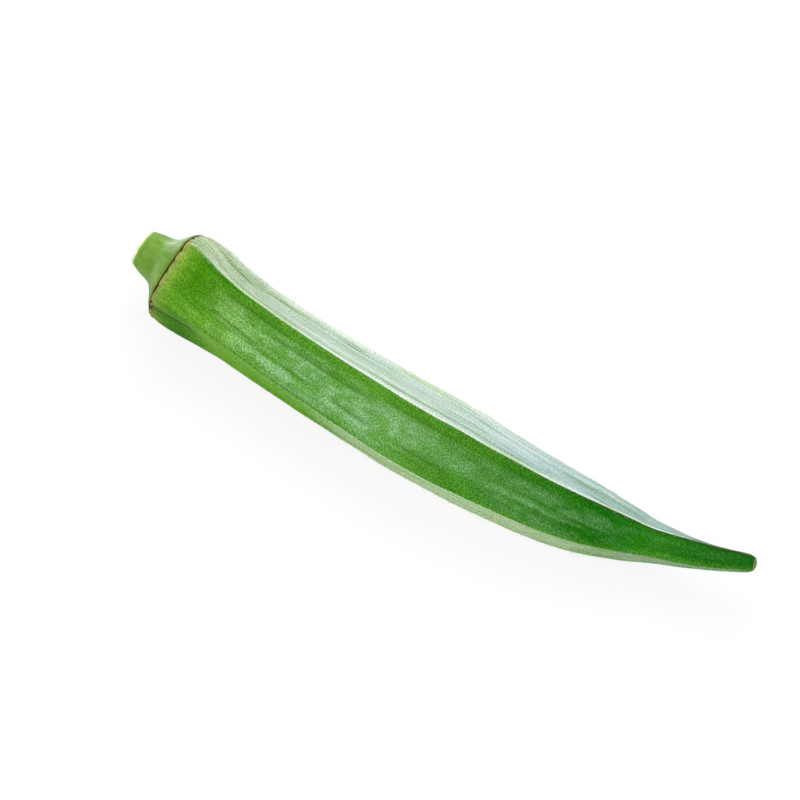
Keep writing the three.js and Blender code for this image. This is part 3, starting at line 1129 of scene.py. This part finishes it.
def build_pod_skin(scene):
    """The whole pod in one closed skin."""
    pod = scene.okra_pod
    columns = RIDGES * STRIPS
    # The rings: a disc at the seam, the rounded lip, the body, the tip's rounding and its disc.
    heel = np.linspace(0, 0.985, 7)
    body = np.r_[
        np.linspace(0, 0.02, 10)[:-1],
        np.linspace(0.02, 0.975, 345)[:-1],
        1 - 0.025 * (1 - np.linspace(0, 1, 16)) ** 1.5,
    ]
    toe = np.linspace(0.86, 0, 6)
    share = np.r_[0 * heel, body, 0 * toe + 1]
    reach = np.r_[heel, np.ones_like(body), toe]
    reach = reach * np.where(reach > 0.99, rounded_end(share / 0.0035, 0.975), 0.975)
    tube = Tube(len(share), columns)
    angle = crowded_angles(columns)
    shares, angles = spread(share, angle)
    points = skin_point(pod, angles, shares, reach[:, None])
    mesh = tube_mesh("pod_skin", tube, points, pod, **pod_masks(pod, angles, shares))
    write_uv(mesh, "OFBake", tube.bake_places())
    unwrapped = np.r_[angle, FULL_TURN]
    along = np.abs(np.diff(share * pod.length / MM))
    run = np.cumsum(np.r_[0, along + POD_END_MM * np.abs(np.diff(reach))])

    def skin_millimetres(ring, column, home):
        """Each facet unrolled on its own."""
        home_facet = home // STRIPS
        turned = np.interp(column, np.arange(columns + 1), unwrapped) / RIDGE_STEP - home_facet
        width = facet_width(pod, share[ring], home_facet)
        return np.stack([run[ring], home_facet * FACET_STEP_MM + turned * width], -1)

    write_uv(mesh, "SkinMillimetres", tube.at_corners(skin_millimetres))
    return add_piece(mesh, pod_material(pod), "pod")


def stalk_frame(scene):
    """The seam's axis point and directions, in millimetres, and the way back to the cut."""
    centre, outward, twist = axis_frame(scene.okra_pod, np.array([0.0]))
    forward = np.cross([0, 0, 1], outward[0])
    backwards = np.array([0, SEAM_SKEW_SIDE, SEAM_SKEW_UP]) - forward
    return centre[0], outward[0], twist[0], backwards


def build_stalk(scene):
    """The cut stem, its flare and the cap that sits on the pod."""
    pod, stalk = scene.okra_pod, scene.okra_stalk
    columns = 200
    length, gap = stalk.length / MM, stalk.seam_gap / MM
    # The rings: a disc in the seam, the wall back to the cut, and the cut face.
    face_edge = 0.955
    under = np.linspace(0, 0.97, 8)
    wall = np.linspace(0, 1, 112)
    face = np.linspace(face_edge, 0, 26)
    back = np.r_[0 * under, wall, 0 * face + 1]
    reach = np.r_[under, np.ones_like(wall), face]
    tube = Tube(len(back), columns)
    backs, angles = spread(back, even_angles(columns))
    reaches = reach[:, None] + 0 * angles
    turn = angles / FULL_TURN
    flare = through(STALK_FLARE, backs)
    seam = 0 * backs
    ridged = section_radius(pod, angles, seam) / section_radius(pod, seam, seam)
    radius = blend(stalk.radius, stalk.cap_radius, flare) / MM * blend(1, ridged, flare)
    rim = rounded_end((1 - backs) / 0.035, face_edge) * rounded_end(backs / 0.02, 0.985)
    strings = 0.04 * (patchwork(backs, turn, 4, 44, 31) - 0.5)
    dents = 0.14 * (patchwork(backs, turn, 5, 11, 32) - 0.5)
    radius = radius * rim + (strings + dents) * eased(backs, 0.02, 0.15)

    # The cut face: rough pith that sinks to the middle, inside a proud ring of fibres.
    inner = 1 - reaches / face_edge
    on_face = (backs >= 1) & (reaches < 1)
    pith = 0.09 * (patchwork(reaches, turn, 9, 60, 33) - 0.5)
    ring = 0.1 * bell(reaches, 0.72, 0.09) - 0.16 * (1 - eased(reaches, 0.2, 0.6))
    proud = np.where(on_face, (pith + ring) * eased(inner, 0, 0.1), 0)

    centre, outward, twist, backwards = stalk_frame(scene)
    middle = centre + (blend(gap, length, backs) + proud)[..., None] * backwards
    middle = middle + (1 - flare)[..., None] * np.array(STALK_OFFSET_MM)
    outwards = np.broadcast_to(outward, middle.shape)
    mesh = tube_mesh(
        "stalk_skin", tube, around_axis(middle, outwards, angles - twist, reaches * radius, 1),
        pod,
        back=backs,
        cut=np.where(on_face, inner, 0),
        top=eased(np.cos(angles - twist + 0.8), 0.5, 0.98),
    )
    write_uv(mesh, "OFBake", tube.bake_places())
    along = np.abs(np.diff(back)) * length
    run = np.cumsum(np.r_[0, along + STALK_END_MM * np.abs(np.diff(reach))])
    write_uv(mesh, "SkinMillimetres", tube.at_corners(
        lambda at, column, home: np.stack([run[at], column / columns * STALK_ROUND_MM], -1)
    ))
    return add_piece(mesh, stalk_material(stalk), "stalk")


def build_seam_scar(scene):
    """The torn dry lip that the fallen sepals left along the seam."""
    pod, stalk = scene.okra_pod, scene.okra_stalk
    columns = 320
    angle = even_angles(columns)
    turn = angle / FULL_TURN
    share = np.zeros(columns)
    rag = patchwork(share, turn, 2, 70, 41)
    wave = patchwork(share, turn, 2, 17, 42)
    torn = eased(wave, 0.25, 0.75)
    gap = stalk.seam_gap / MM
    # Each point of the lip's section, in millimetres: how far past the seam it is, how far
    # out of the skin, and how much it is an edge.
    section = (
        (-0.5 * gap, -0.5, 0),
        (-0.55 * gap, -0.2, 0),
        (-0.5 * gap + 0.25 * gap * torn, 0.06 * rag * torn, 0.3),
        (-0.1 * gap + 0.08 * wave, 0.04 + 0.08 * rag * torn, 0.6),
        (0.12 + 0.2 * rag, 0.04 + 0.09 * rag, 0.85),
        (0.2 + 0.3 * torn * rag, 0.01 + 0.06 * wave, 1),
        (0.12 + 0.2 * torn * rag, -0.06, 0.6),
        (-0.1 * gap, -0.5, 0),
    )
    centre, outward, twist, backwards = stalk_frame(scene)
    outwards = np.broadcast_to(outward, (columns, 3))
    base = section_radius(pod, angle, share)
    points = np.array([
        around_axis(
            centre - (share + past)[:, None] * backwards, outwards, angle - twist, base + out, 1
        )
        for past, out, _ in section
    ])
    count = len(section)
    row, column = np.meshgrid(np.arange(count), np.arange(columns), indexing="ij")
    after, beside = (row + 1) % count, (column + 1) % columns
    faces = np.stack(
        [row * columns + column, row * columns + beside, after * columns + beside,
         after * columns + column], -1,
    ).reshape(-1, 4)
    place = points.reshape(-1, 3) * MM + seam_origin(pod)
    mesh = mesh_from("seam_scar", place, faces.tolist())
    at_edge = np.array([edge for *_, edge in section])[:, None]
    write_point_values(mesh, edge=at_edge * (0.2 + 1.1 * rag))
    material = scar_material("dry_scar", tuple(stalk.scar_colour), tuple(stalk.scar_edge))
    return add_piece(mesh, material)


def build_dry_tip(scene):
    """The shrivelled brown end where the flower's style broke off."""
    pod = scene.okra_pod
    # Each ring: its share of the pod's length, its reach from the axis, and how far the dry
    # end domes out there, in millimetres.
    rings = (
        (0.99, 0, 0), (0.995, 0.9, 0), (0.9965, 1, 0), (0.997, 1, 0), (0.9976, 1, 0),
        (0.9982, 1, 0), (0.9988, 1, 0), (0.9994, 1, 0), (1, 1, 0.02), (1, 0.8, 0.08),
        (1, 0.55, 0.12), (1, 0.28, 0.08), (1, 0, 0.02),
    )
    columns = 72
    share, reach, dome = np.array(rings).T
    shares, angles = spread(share, even_angles(columns))
    reaches = reach[:, None] + 0 * angles
    turn = angles / FULL_TURN
    ragged = 0.0012 * (patchwork(0 * turn, turn, 1, 9, 51) - 0.5)
    shares = np.where((reaches == 1) & (shares < 0.9965), shares + ragged, shares)
    down_rings = np.linspace(0, 1, len(share))[:, None] + 0 * turn
    wrinkle = 0.2 * (patchwork(down_rings, turn, 6, 15, 52) - 0.4)
    rise = np.where(reaches >= 1, 0.015 + wrinkle * eased(shares, 0.996, 0.999), 0)
    points = skin_point(pod, angles, shares, reaches, rise)
    _, outward, _ = axis_frame(pod, np.array([1.0]))
    forward = np.cross([0, 0, 1], outward[0])
    bumps = dome[:, None] * blend(0.6, 1.5, patchwork(reaches, turn, 5, 8, 53))
    points = points + bumps[..., None] * forward
    rim = 0.75 * eased(reaches, 0.5, 0.8)
    edge = rim + 0.4 * patchwork(reaches, turn, 4, 9, 54)
    mesh = tube_mesh("dry_tip", Tube(len(share), columns), points, pod, edge=edge)
    material = scar_material("dry_tip", tuple(pod.tip_brown), tuple(pod.tip_rim))
    return add_piece(mesh, material)


def skin_normals(pod, angle, share):
    """Places on the skin, with their outward and forward directions."""
    turned, moved = 0.004, 0.0006
    here = skin_point(pod, angle, share)
    round_way = skin_point(pod, angle + turned, share) - skin_point(pod, angle - turned, share)
    ahead = skin_point(pod, angle, np.minimum(share + moved, 1))
    along = ahead - skin_point(pod, angle, np.maximum(share - moved, 0))
    normal = np.cross(round_way, along)
    normal /= np.linalg.norm(normal, axis=1, keepdims=True)
    centre = axis_frame(pod, share)[0]
    inward = np.einsum("ij,ij->i", normal, here - centre) < 0
    normal[inward] *= -1
    along /= np.linalg.norm(along, axis=1, keepdims=True)
    return here, normal, along


def by_upper_facet(angle, share):
    """1 on the upper facet and on the ridges beside it, fading along the beak."""
    facet, across = facet_place(angle)
    over_back = np.where(facet == BACK_FACET, eased(across, 0.78, 0.92), 0)
    over_front = np.where(facet == FRONT_FACET, 1 - eased(across, 0.04, 0.1), 0)
    near = np.where(facet == UPPER_FACET, 1, np.maximum(over_back, over_front))
    return near * (1 - eased(share, 0.84, 0.92))


def hairs_on(scene, name, angle, share, lengths, widths, lean, sweep, random):
    """Spikes on the skin. They lean from upright by an angle, in a direction from the tip."""
    pod = scene.okra_pod
    here, normal, along = skin_normals(pod, angle, share)
    sideways = np.cross(normal, along)
    heading = along * np.cos(sweep)[:, None] + sideways * np.sin(sweep)[:, None]
    away = normal * np.cos(lean)[:, None] + heading * np.sin(lean)[:, None]
    # None grow under the flesh that rests on the table.
    free = (here[:, 2] > 0.02) | (normal[:, 2] > -0.2)
    here, away, normal = here[free], away[free], normal[free]
    tips = here + away * lengths[free, None]
    tips[:, 2] = np.maximum(tips[:, 2], HAIR_CLEARANCE_MM)
    roots = here - normal * HAIR_ROOT_DEPTH_MM
    origin = seam_origin(pod) / MM
    mesh = hair_mesh(name, roots + origin, tips + origin, widths[free], random.random(free.sum()))
    upper = by_upper_facet(angle, share)[free]
    write_point_values(mesh, upper=np.repeat(upper, HAIR_POINTS))
    return add_piece(mesh, shared_hair_material(scene.okra_down))


def build_bristles(scene):
    """The stiffer hairs that stand along the five ridges."""
    pod, down = scene.okra_pod, scene.okra_down
    random = np.random.default_rng(BRISTLE_SEED)
    count = int(pod.length / MM * down.bristles_per_mm)
    angles, shares = [], []
    for ridge in range(RIDGES):
        beside = random.normal(0, BRISTLE_SPREAD, count)
        angles.append((ridge + beside) * RIDGE_STEP)
        shares.append(0.012 + 0.975 * random.random(count))
    angle, share = np.concatenate(angles), np.concatenate(shares)
    beak = blend(1, 0.45, eased(share, 0.7, 0.95)) * blend(0.5, 1, eased(share, 0.1, 0.2))
    lengths = down.bristle_length / MM * (0.35 + 0.95 * random.random(len(angle)) ** 1.6) * beak
    widths = down.bristle_width / MM * (0.6 + 0.6 * random.random(len(angle)))
    lean = np.abs(random.normal(0, BRISTLE_LEAN, len(angle)))
    sweep = random.random(len(angle)) * FULL_TURN
    return hairs_on(
        scene, "ridge_bristles", angle, share, lengths, widths, lean, sweep, random
    )


def build_down(scene):
    """The short down, one piece on each facet."""
    pod, down = scene.okra_pod, scene.okra_down
    for facet, name in enumerate(("front", "lower", "resting", "back", "upper")):
        random = np.random.default_rng(DOWN_SEED + facet)
        area = pod.length / MM * 1.1 * pod.ridge_radius / MM
        tried = int(area * down.per_square_mm)
        share = random.random(tried)
        angle = (facet + random.random(tried)) * RIDGE_STEP
        girth = through(GIRTH, share)
        thick = 0.1 + 0.9 * felt_thickness(angle, share)
        kept = (random.random(tried) < girth * thick) & (share > 0.01) & (share < 0.985)
        angle, share, thick = angle[kept], share[kept], thick[kept]
        count = len(angle)
        lengths = down.hair_length / MM * (0.5 + random.random(count) ** 1.5)
        lengths = lengths * blend(0.7, 1.1, thick)
        widths = down.hair_width / MM * (0.7 + 0.6 * random.random(count))
        lean = np.radians(blend(*DOWN_LEAN_DEGREES, random.random(count)))
        swing = patchwork(share, angle / FULL_TURN, 30, 25, COMBING_SEED + facet) - 0.5
        sweep = np.radians(COMBED_DEGREES) + COMBING_SWING * swing
        sweep = sweep + random.normal(0, COMBING_DISORDER, count)
        hairs_on(scene, f"down_{name}", angle, share, lengths, widths, lean, sweep, random)


def put_facing(scene, item, place, direction):
    """Puts a lamp or a camera in the scene, looking in a direction."""
    item.location = place
    item.rotation_mode = "QUATERNION"
    item.rotation_quaternion = direction.to_track_quat("-Z", "Y")
    scene.collection.objects.link(item)


def white_for_camera(board, other, strength, kind, socket):
    """Shows white to the camera, as far as the strength goes, and the other shader elsewhere."""
    white = board.add(kind)
    board.put(white.inputs["Color"], (1, 1, 1))
    mixed = board.add("MixShader")
    seen = board.add("LightPath").outputs["Is Camera Ray"]
    board.put(mixed.inputs[0], board.times(seen, strength))
    board.put(mixed.inputs[1], other.outputs[0])
    board.put(mixed.inputs[2], white.outputs[0])
    board.put(socket, mixed.outputs[0])


def table_material(stage):
    """Pale paper that looks nearly white and keeps the pod's shadow."""
    material = bpy.data.materials.new("table_paper")
    material.use_nodes = True
    board = Board(material.node_tree)
    paper = board.add("BsdfDiffuse")
    board.put(paper.inputs["Color"], tuple(stage.floor_colour))
    out = board.add("OutputMaterial")
    white_for_camera(board, paper, TABLE_GLOW, "Emission", out.inputs[0])
    return material


def studio_world(stage):
    """Even light from all round, with a white background."""
    world = bpy.data.worlds.new("studio")
    world.use_nodes = True
    board = Board(world.node_tree)
    even = board.add("Background")
    board.put(even.inputs["Color"], (1, 1, 1))
    board.put(even.inputs["Strength"], stage.sky_strength)
    white_for_camera(board, even, 1.0, "Background", board.add("OutputWorld").inputs[0])
    return world


def build_stage(scene):
    """The pale table, soft lamps, even sky and the camera."""
    stage = scene.okra_stage
    scene.view_settings.view_transform = "Standard"
    scene.world = studio_world(stage)
    corners = [
        (x * TABLE_HALF_SIDE, y * TABLE_HALF_SIDE, -TABLE_DROP)
        for x, y in ((-1, -1), (1, -1), (1, 1), (-1, 1))
    ]
    mesh = bpy.data.meshes.new("table")
    mesh.from_pydata(corners, [], [(0, 1, 2, 3)])
    mesh.materials.append(table_material(stage))
    table = bpy.data.objects.new("table", mesh)
    scene.collection.objects.link(table)

    for name, power, (size, place) in (
        ("key_lamp", stage.key_power, KEY_LAMP), ("fill_lamp", stage.fill_power, FILL_LAMP),
    ):
        lamp = bpy.data.lights.new(name, "AREA")
        lamp.shape, lamp.size, lamp.energy = "DISK", size, power
        put_facing(scene, bpy.data.objects.new(name, lamp), Vector(place), -Vector(place))

    low, high = (np.array(corner) for corner in (CAD_LOW, CAD_HIGH))
    aim = (low + high) / 2 * (1, 1, 0) + np.array(AIM_FROM_MIDDLE_MM) * MM
    flat = math.cos(stage.elevation)
    back = Vector((
        math.sin(stage.azimuth) * flat, -math.cos(stage.azimuth) * flat,
        math.sin(stage.elevation),
    ))
    lens = bpy.data.cameras.new("camera")
    lens.lens, lens.sensor_width = LENS_MM, SENSOR_MM
    lens.clip_start, lens.clip_end = 0.01, 10
    camera = bpy.data.objects.new("camera", lens)
    put_facing(scene, camera, Vector(aim) + back * stage.distance, -back)
    scene.camera = camera


# -------------------------------------------------------------------------------- the add-on


class OKRA_OT_pod_skin(bpy.types.Operator):
    """Make the pod's ribbed skin"""

    bl_idname = "okra.pod_skin"
    bl_label = "Pod Skin"

    def execute(self, context):
        build_pod_skin(context.scene)
        return {"FINISHED"}


class OKRA_OT_stalk(bpy.types.Operator):
    """Make the cut stalk and its cap"""

    bl_idname = "okra.stalk"
    bl_label = "Stalk"

    def execute(self, context):
        build_stalk(context.scene)
        return {"FINISHED"}


class OKRA_OT_seam_scar(bpy.types.Operator):
    """Make the torn dry lip along the seam"""

    bl_idname = "okra.seam_scar"
    bl_label = "Seam Scar"

    def execute(self, context):
        build_seam_scar(context.scene)
        return {"FINISHED"}


class OKRA_OT_dry_tip(bpy.types.Operator):
    """Make the shrivelled end of the beak"""

    bl_idname = "okra.dry_tip"
    bl_label = "Dry Tip"

    def execute(self, context):
        build_dry_tip(context.scene)
        return {"FINISHED"}


class OKRA_OT_bristles(bpy.types.Operator):
    """Make the hairs that stand along the ridges"""

    bl_idname = "okra.bristles"
    bl_label = "Ridge Bristles"

    def execute(self, context):
        build_bristles(context.scene)
        return {"FINISHED"}


class OKRA_OT_down(bpy.types.Operator):
    """Make the short down on every facet"""

    bl_idname = "okra.down"
    bl_label = "Down"

    def execute(self, context):
        build_down(context.scene)
        return {"FINISHED"}


class OKRA_OT_stage(bpy.types.Operator):
    """Set the table, the lamps and the camera"""

    bl_idname = "okra.stage"
    bl_label = "Stage"

    def execute(self, context):
        build_stage(context.scene)
        return {"FINISHED"}


STEPS = (
    OKRA_OT_stage, OKRA_OT_pod_skin, OKRA_OT_stalk, OKRA_OT_seam_scar, OKRA_OT_dry_tip,
    OKRA_OT_bristles, OKRA_OT_down,
)
SETTINGS = {
    "okra_pod": OkraPodSettings,
    "okra_stalk": OkraStalkSettings,
    "okra_down": OkraDownSettings,
    "okra_stage": OkraStageSettings,
}


class OKRA_PT_panel(bpy.types.Panel):
    """Lists the pod's settings and the steps that build it"""

    bl_label = "Okra Pod"
    bl_idname = "OKRA_PT_panel"
    bl_space_type = "VIEW_3D"
    bl_region_type = "UI"
    bl_category = "Okra"

    def draw(self, context):
        for key in SETTINGS:
            box = self.layout.box()
            box.label(text=key.replace("okra_", "").title())
            settings = getattr(context.scene, key)
            for name in settings.__annotations__:
                box.prop(settings, name)
        for step in STEPS:
            self.layout.operator(step.bl_idname)


def register():
    for kind in (*SETTINGS.values(), *STEPS, OKRA_PT_panel):
        bpy.utils.register_class(kind)
    for key, kind in SETTINGS.items():
        setattr(bpy.types.Scene, key, bpy.props.PointerProperty(type=kind))


def unregister():
    for key in SETTINGS:
        delattr(bpy.types.Scene, key)
    for kind in (OKRA_PT_panel, *reversed(STEPS), *reversed(SETTINGS.values())):
        bpy.utils.unregister_class(kind)


def main():
    register()
    for step in STEPS:
        group, name = step.bl_idname.split(".")
        getattr(getattr(bpy.ops, group), name)()


if __name__ == "__main__":
    main()
